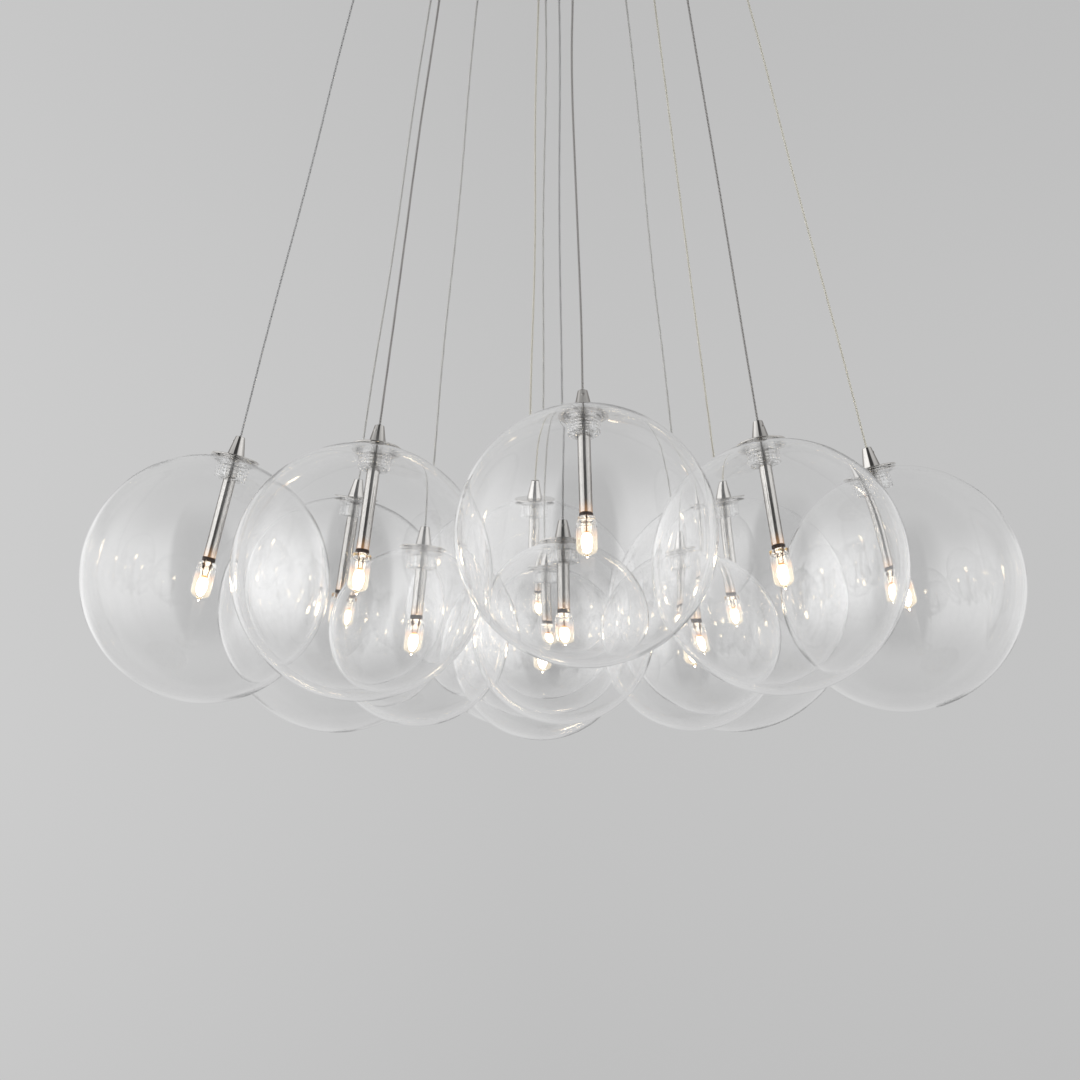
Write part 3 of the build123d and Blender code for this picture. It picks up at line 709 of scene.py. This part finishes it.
# %% Turn the lampholder
HOLDER_RING = 2.6
HOLDER_RING_R = 4.3
HOLDER_SPIGOT = 9.0
PIN_HOLE = 0.5
PIN_HOLE_DEPTH = 8.0
PIN_SPACING = 4.0
spigot = TUBE - TUBE_WALL - FIT
holder_outline = [
    (0, -HOLDER_RING), (HOLDER_RING_R - 2 * BREAK, -HOLDER_RING), (HOLDER_RING_R, 2 * BREAK - HOLDER_RING),
    (HOLDER_RING_R, -0.9), (HOLDER_RING_R - BREAK, -0.8), (HOLDER_RING_R, -0.7), (HOLDER_RING_R, -BREAK),
    (HOLDER_RING_R - BREAK, 0), (spigot, 0),
    (spigot, HOLDER_SPIGOT), (0, HOLDER_SPIGOT),
]
pin_holes = []
for side in (-1, 1):
    hole = [(0, -HOLDER_RING - 1), (PIN_HOLE, -HOLDER_RING - 1), (PIN_HOLE, PIN_HOLE_DEPTH - HOLDER_RING),
            (0, PIN_HOLE_DEPTH - HOLDER_RING)]
    drill = turn("pin_hole", hole, 16)
    drill.transform(Matrix.Translation((side * PIN_SPACING / 2 * MM, 0, 0)))
    pin_holes.append(drill)
holder_mesh = smooth(carved(turn("lampholder", holder_outline, 48), pin_holes), 30)
print("lampholder:", len(holder_mesh.polygons), "faces")

# %% Finish: black resin
holder_resin, recipe = new_finish("holder_resin")
speckle = recipe.grain(0.3)
sockets = {
    "Base Color": recipe.blend(speckle, (0.034, 0.022, 0.018, 1), (0.075, 0.050, 0.040, 1)),
    "Roughness": 0.38 + 0.2 * speckle,
    "Normal": recipe.relief(speckle, 0.01),
}
recipe.surface(recipe.node("BsdfPrincipled", {}, sockets))
print("black resin with", len(holder_resin.node_tree.nodes), "nodes")

# %% Assemble the twelve stems
stem_meshes = {
    "grip": smooth(turn("grip", grip_outline, 48), 20),
    "cover_disc": smooth(turn("cover_disc", disc_outline, DISC_SIDES, ring=True), 40),
}
tube_meshes = {
    large: smooth(turn("tube_%d" % below, tube_outline(below), 48, ring=True), 30)
    for large, below in TUBE_BELOW_DISC.items()
}
for p in pendants:
    stem, body, node = stem_place(p), "pendant_" + p.name, ["stem_" + p.name]
    end = stem @ Matrix.Translation((0, 0, -TUBE_BELOW_DISC[p.large] * MM))
    put("grip_" + p.name, stem_meshes["grip"], chrome_grip, stem, body, node)
    put("cover_disc_" + p.name, stem_meshes["cover_disc"], chrome_turned, stem, body, node)
    put("grub_screw_" + p.name, grub_mesh, chrome_grip, stem @ grub_place, body, node)
    put("screw_plug_" + p.name, plug_mesh, clear_plastic, stem, body, node)
    put("tube_" + p.name, tube_meshes[p.large], chrome_tube, end, body, node)
    put("lampholder_" + p.name, holder_mesh, holder_resin, end, body, node)
print("stems:", len(pendants), "of six pieces each")

# %% [markdown]
# ## The capsule bulb
# A low-voltage capsule is a little quartz tube, pressed shut at the end with the pins and domed at the other,
# with the nib where it was sealed. The pressed end is not round, so it can't be turned: its rings are squared-off
# ovals that become circles on the way down, joined ring to ring. The hollow inside is a second skin that faces
# inward.

# %% Join rings into a skin
def oval(half_x, half_y, squareness, height, sides=40):
    """A ring: 2 gives an ellipse, and more squares its corners off."""
    ring = []
    for k in range(sides):
        c, s = cos(2 * pi * k / sides), sin(2 * pi * k / sides)
        x = half_x * abs(c) ** (2 / squareness) * (1 if c >= 0 else -1)
        y = half_y * abs(s) ** (2 / squareness) * (1 if s >= 0 else -1)
        ring.append((x * MM, y * MM, height * MM))
    return ring


def skin(rings, inward=False):
    """Points and faces of a closed skin through rings, from the top ring to the bottom one."""
    sides = len(rings[0])
    points = [point for ring in rings for point in ring]
    faces = [tuple(range(sides))] if not inward else [tuple(reversed(range(sides)))]
    for row in range(len(rings) - 1):
        for k in range(sides):
            a, b = row * sides + k, row * sides + (k + 1) % sides
            face = (a, a + sides, b + sides, b)
            faces.append(face[::-1] if inward else face)
    last = tuple(range((len(rings) - 1) * sides, len(rings) * sides))
    faces.append(last if inward else last[::-1])
    return points, faces


# %% Draw the bulb's glass
BULB = 6.5
BULB_LENGTH = 24.0
BULB_WALL = 0.7
PINCH_LENGTH = 6.0
PINCH_HALF = (5.8, 5.4)
HOLLOW_TOP = 2.4
SHOULDER = 4.0
DOME = 4.5
NIB = 2.0


def capsule_rings(inset):
    """Rings down the round part: squared at the pinch, round below the shoulder, then the dome."""
    top, low = -HOLLOW_TOP - inset, inset - BULB_LENGTH
    rings = []
    for share in (0.0, 0.25, 0.5, 0.75, 1.0):
        ease = sin(share * pi / 2)
        half_x = PINCH_HALF[0] - inset + (BULB - PINCH_HALF[0]) * ease
        half_y = PINCH_HALF[1] - inset + (BULB - PINCH_HALF[1]) * ease
        rings.append(oval(half_x, half_y, 3 - ease, top - SHOULDER * share))
    round_r, deep = BULB - inset, DOME - inset
    for angle in range(0, 90, 15):
        a = radians(angle)
        rings.append(oval(round_r * cos(a), round_r * cos(a), 2, low + deep - deep * sin(a)))
    return rings


def make_bulb_glass():
    x, y = PINCH_HALF
    outside = [oval(x - 0.5, y - 0.5, 3, 0), oval(x, y, 3, -0.5), oval(x, y, 3, -HOLLOW_TOP + 0.5)]
    outside += capsule_rings(0)
    for radius, drop in ((1.3, 0.25), (1.0, 0.8), (0.7, 1.5), (0.35, NIB)):
        outside.append(oval(radius, radius, 2, -BULB_LENGTH - drop + 0.1))
    points, faces = skin(outside)
    inner_points, inner_faces = skin(capsule_rings(BULB_WALL)[:-1] + [oval(0.6, 0.6, 2, BULB_WALL - BULB_LENGTH)],
                                     inward=True)
    faces += [tuple(corner + len(points) for corner in face) for face in inner_faces]
    mesh = bpy.data.meshes.new("bulb_glass")
    mesh.from_pydata(points + inner_points, [], faces)
    return smooth(mesh, 50), len(outside) * len(outside[0])


bulb_mesh, bulb_outside_points = make_bulb_glass()
print("bulb glass:", len(bulb_mesh.polygons), "faces")

# %% [markdown]
# ## Light in the bulb
# Seen by a camera, a burning capsule has a white heart with a yellow to orange edge, and clear glass round that.
# The hollow's own skin therefore has a faint warm glow painted on beside the coil, a painted glare that the quartz
# itself doesn't give, going to clear glass towards the pressed end and the nib. The glow changes with height in the
# bulb alone, so it looks the same from all sides.

# %% Glare painted on the quartz
GLOW_STRENGTH = 0.22
HOT = (1.0, 0.74, 0.34, 1)
WARM = (1.0, 0.45, 0.10, 1)

bulb_glass = make_glass("bulb_glass", 4.0, 0.02)
bulb_painted_glare, recipe = new_finish("bulb_painted_glare")
_, _, height = recipe.axes(recipe.node("TexCoord", {}, {}, "Object"))
height = height * (1 / MM)
# Painted glare: warm emission on the hollow's skin beside the coil.
lit = (-height).between(PINCH_LENGTH, PINCH_LENGTH + 5.0)
nib_end = 1 - (-height).between(BULB_LENGTH - 3.0, BULB_LENGTH + 2.0)
colour = recipe.blend((-height).between(PINCH_LENGTH + 3.0, PINCH_LENGTH + 9.0), WARM, HOT)
painted_glare_colour = recipe.blend(lit * nib_end, (0, 0, 0, 1), colour)
sockets = {
    "Base Color": (1, 1, 1, 1),
    "Roughness": 0.0,
    "IOR": 1.46,
    "Transmission Weight": 1.0,
    "Emission Color": painted_glare_colour,
    "Emission Strength": GLOW_STRENGTH,
}
glass = recipe.node("BsdfPrincipled", {}, sockets)
clear = recipe.node("BsdfTransparent")
for_lamps = recipe.node("LightPath", {}, {}, "Is Shadow Ray")
recipe.surface(recipe.node("MixShader", {}, {0: for_lamps, 1: glass, 2: clear}))

bulb_mesh.materials.append(bulb_glass)
bulb_mesh.materials.append(bulb_painted_glare)
for face in bulb_mesh.polygons:
    face.material_index = int(min(face.vertices) >= bulb_outside_points)
print("glow on", sum(face.material_index for face in bulb_mesh.polygons), "faces of the hollow")

# %% [markdown]
# ## The coil and its wires
# Inside, two lead wires come down from the pinch and hold a coil of tungsten across the bulb. In the pinch they
# turn to two paper-thin foils, which seal in quartz where a round wire would crack it. Wires and coil are curves
# with a round section, turned into meshes.

# %% Bend wires
def wire(points, radius):
    """A round wire along points in millimetres, as points and faces of a mesh."""
    curve = bpy.data.curves.new("wire", "CURVE")
    curve.dimensions = "3D"
    curve.bevel_depth = radius * MM
    curve.bevel_resolution = 2
    curve.use_fill_caps = True
    spline = curve.splines.new("POLY")
    spline.points.add(len(points) - 1)
    for spot, point in zip(spline.points, points):
        spot.co = [part * MM for part in point] + [1]
    holder = bpy.data.objects.new("wire", curve)
    mesh = bpy.data.meshes.new_from_object(holder)
    bpy.data.objects.remove(holder)
    bpy.data.curves.remove(curve)
    return mesh


def joined(name, meshes):
    """Several meshes as one."""
    points, faces = [], []
    for mesh in meshes:
        first = len(points)
        points += [vertex.co.copy() for vertex in mesh.vertices]
        faces += [tuple(first + corner for corner in face.vertices) for face in mesh.polygons]
    whole = bpy.data.meshes.new(name)
    whole.from_pydata(points, [], faces)
    return smooth(whole, 40)


# %% The coil, the leads and the pins
COIL_Z = -(PINCH_LENGTH + BULB_WALL + 7.0)
COIL_HALF = 2.4
COIL_R = 0.62
COIL_TURNS = 9
COIL_WIRE = 0.13
LEAD = 0.26
PIN = 0.35
PIN_LENGTH = 7.0
FOIL = (1.5, 3.2)

COIL_STEPS = 12

coil = []
for step in range(COIL_TURNS * COIL_STEPS + 1):
    angle = 2 * pi * step / COIL_STEPS
    along = COIL_HALF * (2 * step / (COIL_TURNS * COIL_STEPS) - 1)
    coil.append((along, COIL_R * cos(angle), COIL_Z + COIL_R * sin(angle)))
coil_mesh = joined("coil", [wire(coil, COIL_WIRE)])

leads, pins, foils = [], [], []
for side in (-1, 1):
    x = side * PIN_SPACING / 2
    foil_top, foil_low = -1.4, -1.4 - FOIL[1]
    leads.append(wire([(x, 0, foil_low), (x * 0.95, 0, -PINCH_LENGTH), (side * 1.5, 0, COIL_Z + 4),
                       (side * 1.9, 0, COIL_Z + 1.5), (side * COIL_HALF, 0, COIL_Z + 0.5)], LEAD))
    pins.append(wire([(x, 0, PIN_LENGTH), (x, 0, foil_top - 0.3)], PIN))
    foil = turn("foil", [(0, foil_low), (FOIL[0] / 2, foil_low), (FOIL[0] / 2, foil_top), (0, foil_top)], 4)
    foil.transform(Matrix.Translation((x * MM, 0, 0)) @ Matrix.Diagonal((1, 0.08, 1, 1)))
    foils.append(foil)
bulb_metal_mesh = joined("bulb_metal", leads + pins + foils)
print("coil", len(coil_mesh.polygons), "faces, leads and pins", len(bulb_metal_mesh.polygons), "faces")

# %% Finishes: hot tungsten and dark lead metal
COIL_POWER = 40.0
tungsten, recipe = new_finish("tungsten_hot")
flicker = recipe.grain(0.8)
sockets = {
    "Base Color": (0.3, 0.3, 0.3, 1),
    "Roughness": 0.5,
    "Emission Color": recipe.blend(flicker, (1.0, 0.70, 0.38, 1), (1.0, 0.86, 0.62, 1)),
    "Emission Strength": COIL_POWER,
}
recipe.surface(recipe.node("BsdfPrincipled", {}, sockets))
lead_metal = make_chrome("lead_metal", 0.5, 0.004, (0.3, 0.5), (0.20, 0.12, 0.07, 1))
print("finishes:", tungsten.name, lead_metal.name)

# %% [markdown]
# ## The white heart of the glare
# The brightest thing in the picture is not the coil but the glare round it, an egg of light about half as wide
# as the bulb. It also makes the many small warm sparks where the globes mirror each other's bulbs, so it is a real
# glowing shape in the hollow, white-hot at its middle and a weaker orange at its upper end.

# %% Glare
GLARE_R = 3.3
GLARE_HALF = 6.9
GLARE_Z = -15.6
egg = [(GLARE_R * cos(radians(a)), GLARE_Z + GLARE_HALF * sin(radians(a))) for a in range(-75, 90, 15)]
glare_mesh = smooth(turn("glare", [(0, GLARE_Z - GLARE_HALF)] + egg + [(0, GLARE_Z + GLARE_HALF)], 32), 60)

GLARE_POWER = 14.0
glare, recipe = new_finish("glare")
_, _, height = recipe.axes(recipe.node("TexCoord", {}, {}, "Object"))
up_end = (height * (1 / MM) - GLARE_Z).between(GLARE_HALF * 0.3, GLARE_HALF * 0.9)
white_hot = recipe.blend(up_end, (1.0, 0.84, 0.60, 1), (0.085, 0.026, 0.004, 1))
recipe.surface(recipe.node("Emission", {}, {"Color": white_hot, "Strength": GLARE_POWER}))
print("glare:", 2 * GLARE_R, "by", 2 * GLARE_HALF, "mm")

# %% Put the bulbs in
for p in pendants:
    below = disc_underside(p) - TUBE_BELOW_DISC[p.large] - HOLDER_RING - REST_ON_LIP
    at_bulb = p.place @ Matrix.Translation((0, 0, below * MM))
    body, node = "bulb_body_" + p.name, ["bulb_" + p.name]
    put("bulb_glass_" + p.name, bulb_mesh, None, at_bulb, body, node)
    put("bulb_leads_" + p.name, bulb_metal_mesh, lead_metal, at_bulb, body, node)
    put("coil_" + p.name, coil_mesh, tungsten, at_bulb, body, node)
    put("glare_" + p.name, glare_mesh, glare, at_bulb, body, node)
print("bulbs:", len(pendants))

# %% [markdown]
# ## The cables
# Each globe hangs on one thin cable with a braided steel jacket, pulled straight by the glass but never quite
# straight: it keeps a memory of the drum it came off. A cable is a NURBS curve from the ball in its gland to the
# inside of the grip. The first and last stretches are dead straight, where the gland and the grip hold it, and
# between them a few listed points stand a millimetre or two off the line.

# %% Where each cable strays from its straight line
CABLE_STRAY = {
    "01": [(0.22, 0.6, -0.5), (0.47, -0.7, 0.4), (0.74, 0.5, 0.6)],
    "02": [(0.18, -0.5, 0.7), (0.41, 0.8, -0.3), (0.70, -0.6, -0.5)],
    "03": [(0.25, 0.9, 0.5), (0.55, -0.8, -0.6), (0.80, 0.6, 0.3)],
    "04": [(0.20, 1.0, 1.2), (0.45, -0.9, -0.7), (0.68, 1.1, 0.9), (0.88, -0.4, -0.6)],
    "05": [(0.24, -0.8, 1.3), (0.52, 0.9, -1.2), (0.79, -0.5, 0.7)],
    "06": [(0.16, 1.3, 1.6), (0.33, -1.0, -1.4), (0.60, 0.6, -0.5), (0.85, -0.4, 0.6)],
    "07": [(0.21, -0.7, 1.1), (0.48, 0.9, -0.9), (0.77, -0.8, 0.8)],
    "08": [(0.19, 0.8, -1.2), (0.44, -1.1, 1.0), (0.72, 0.9, -0.8), (0.90, -0.3, 0.5)],
    "09": [(0.23, 1.2, -0.8), (0.50, -1.0, 1.1), (0.76, 0.9, -0.7)],
    "10": [(0.26, -0.6, 0.5), (0.53, 0.7, -0.6), (0.81, -0.5, 0.4)],
    "11": [(0.20, 0.7, 0.8), (0.46, -0.8, -0.5), (0.73, 0.6, 0.7)],
    "12": [(0.22, -1.1, -0.9), (0.49, 1.0, 0.8), (0.78, -0.9, -0.6)],
}
HELD = 0.035


def cable_route(p):
    """From the ball's middle down into the grip, in metres in the pendant's own frame."""
    start = p.hang
    end = (disc_underside(p) + grip_top - CABLE_INTO_GRIP) * MM
    spots = [(0.0, 0.0, 0.0), (HELD, 0.0, 0.0)] + CABLE_STRAY[p.name] + [(1 - HELD, 0.0, 0.0), (1.0, 0.0, 0.0)]
    return [Vector((a * MM, b * MM, start + (end - start) * share)) for share, a, b in spots]


def cable_curve(p):
    curve = bpy.data.curves.new("cable_" + p.name, "CURVE")
    curve.dimensions = "3D"
    curve.bevel_depth = CABLE * MM
    curve.bevel_resolution = 3
    curve.resolution_u = 10
    curve.use_fill_caps = True
    spline = curve.splines.new("NURBS")
    route = [p.place @ point for point in cable_route(p)]
    spline.points.add(len(route) - 1)
    for spot, point in zip(spline.points, route):
        spot.co = (*point, 1)
    spline.order_u = 3
    spline.use_endpoint_u = True
    return curve, (route[0] - route[-1]).length


# %% [markdown]
# ## Finish: braided steel
# The jacket is a close braid of fine steel wire. At this size the eye reads it as a mid grey rope with tiny
# bright and dark beads, so two slanted wave patterns cross over each other: where either crest is high, a
# strand stands up and is pale, and the gaps between are painted darker as shade. Each cable gets one of four
# lit and shaded copies of the braid: painted shade on the darker ones, painted light on the paler ones, and the
# cream ones a little yellow as well; in the picture that tells the cables apart.

# %% Braid
# Four lit and shaded copies of one braid: painted shade on the darker cables, painted light on the paler ones.
BRAID_LIT_AND_SHADED = {
    "dark": ((0.16, 0.15, 0.145, 1), (0.42, 0.41, 0.40, 1)),
    "grey": ((0.24, 0.24, 0.245, 1), (0.55, 0.55, 0.55, 1)),
    "pale": ((0.36, 0.36, 0.35, 1), (0.66, 0.66, 0.64, 1)),
    "cream": ((0.54, 0.52, 0.46, 1), (0.76, 0.74, 0.66, 1)),
}
CABLE_PAINTED_SHADE = dict(zip(NAMES, "grey dark pale pale cream dark grey pale pale dark cream cream".split()))
STRANDS_PER_METRE = 260.0


def make_braid(tone):
    material, recipe = new_finish("braid_" + tone)
    spot = recipe.node("TexCoord", {}, {}, "Object")
    strands = []
    for slant in (1, -1):
        turned = (radians(38 * slant), radians(32 * slant), 0)
        lean = recipe.node("Mapping", {}, {"Vector": spot, "Rotation": turned})
        settings = {"wave_type": "BANDS", "bands_direction": "Z", "wave_profile": "SIN"}
        sockets = {"Vector": lean, "Scale": STRANDS_PER_METRE, "Distortion": 0.6}
        strands.append(recipe.node("TexWave", settings, sockets, "Fac"))
    crest = strands[0].maths("MAXIMUM", strands[0], strands[1])
    # The gap colour is painted shade between the strands.
    gap_shade, strand = BRAID_LIT_AND_SHADED[tone]
    sockets = {
        "Base Color": recipe.blend(crest.between(0.2, 0.8), gap_shade, strand),
        "Metallic": 0.5,
        "Roughness": 0.66 - 0.16 * crest,
        "Normal": recipe.relief(crest, 0.04),
    }
    recipe.surface(recipe.node("BsdfPrincipled", {}, sockets))
    return material


braids = {tone: make_braid(tone) for tone in BRAID_LIT_AND_SHADED}
print("braids:", list(braids))

# %% Hang the cables
STOP = 3.2
stop_outline = [(0, -STOP)] + arc((0, 0), STOP, -72, 70, 14) + [(1.2, 3.0), (1.1, STOP), (0, STOP)]
stop_mesh = smooth(turn("cable_stop", stop_outline, 40), 40)

for p in pendants:
    curve, length = cable_curve(p)
    cable = bpy.data.objects.new("cable_run_" + p.name, curve)
    bpy.context.scene.collection.objects.link(cable)
    curve.materials.append(braids[CABLE_PAINTED_SHADE[p.name]])
    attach(cable, "pendant_" + p.name)
    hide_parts("cable_" + p.name)
    at_pivot = p.place @ Matrix.Translation((0, 0, p.hang))
    stop = put("cable_stop_" + p.name, stop_mesh, chrome_turned, at_pivot, "pendant_" + p.name,
               ["cable_" + p.name])
    print("cable", p.name, round(length / MM, 1), "mm")

# %% [markdown]
# ## The canopy and what is in it
# The canopy is a spun steel dish, chromed like the stems, with concentric marks from spinning. These pieces keep
# their shape from the frame, so they only need finishes. Spinning marks run round the dish: noise that is drawn
# far out around the axis would need the angle, so the noise is read at the distance from the axis instead.

# %% Finishes for the canopy's pieces
def dress(node, finish):
    """Gives a piece of the frame one finish."""
    mesh = frame["nodes"][node].data
    mesh.materials.clear()
    mesh.materials.append(finish)


MARKS_PER_METRE = 900.0


def make_spun(name, colour, roughness):
    material, recipe = new_finish(name)
    across, along, up = recipe.axes(recipe.node("TexCoord", {}, {}, "Object"))
    out = (across * across + along * along) ** 0.5
    rings = recipe.node("CombineXYZ", {}, {"X": out * MARKS_PER_METRE, "Y": up * MARKS_PER_METRE})
    marks = recipe.node("TexNoise", {}, {"Vector": rings, "Scale": 1.0, "Detail": 2.0}, "Fac")
    sockets = {
        "Base Color": colour,
        "Metallic": 1.0,
        "Roughness": roughness + 0.10 * marks,
        "Normal": recipe.relief(marks, 0.006),
    }
    recipe.surface(recipe.node("BsdfPrincipled", {}, sockets))
    return material


def make_moulded(name, pale, dark, roughness, grain_mm):
    material, recipe = new_finish(name)
    grain = recipe.grain(grain_mm)
    sockets = {
        "Base Color": recipe.blend(grain, pale, dark),
        "Roughness": roughness + 0.15 * grain,
        "Normal": recipe.relief(grain, 0.02),
    }
    recipe.surface(recipe.node("BsdfPrincipled", {}, sockets))
    return material


chrome_spun = make_spun("chrome_spun", (0.78, 0.77, 0.76, 1), 0.06)
zinc_steel = make_chrome("zinc_steel", 4.0, 0.01, (0.32, 0.5), (0.62, 0.63, 0.65, 1), stretch=(1, 1, 1))
brass = make_chrome("brass_nut", 0.4, 0.003, (0.18, 0.32), (0.78, 0.56, 0.25, 1), stretch=(30, 30, 1))
white_case = make_moulded("white_case", (0.82, 0.82, 0.80, 1), (0.74, 0.74, 0.72, 1), 0.4, 1.2)
terminal_plastic = make_moulded("terminal_plastic", (0.80, 0.79, 0.72, 1), (0.70, 0.69, 0.62, 1), 0.35, 0.8)

dress("canopy_cover", chrome_spun)
dress("cable_glands", chrome_turned)
dress("canopy_screws", chrome_turned)
dress("gland_nuts", brass)
dress("ceiling_plate", zinc_steel)
dress("fixing_screws", zinc_steel)
dress("transformer", white_case)
dress("supply_terminals", terminal_plastic)
dress("output_terminals", terminal_plastic)
print("canopy pieces dressed")

# %% [markdown]
# ## Colour and bounces
# The picture is shown without a filmic curve, so that a tone of one half stays where the studio put it. A ray that
# crosses four globes meets sixteen glass surfaces, so it is allowed more bounces than usual, or the middle of the
# cluster would go dark.

# %% Finish
scene = bpy.context.scene
scene.view_settings.view_transform = "Standard"
GLASS_CROSSINGS = 40
scene.cycles.max_bounces = GLASS_CROSSINGS
scene.cycles.transmission_bounces = GLASS_CROSSINGS
scene.cycles.transparent_max_bounces = GLASS_CROSSINGS
scene.cycles.glossy_bounces = 12
scene.cycles.caustics_reflective = True
scene.cycles.caustics_refractive = True
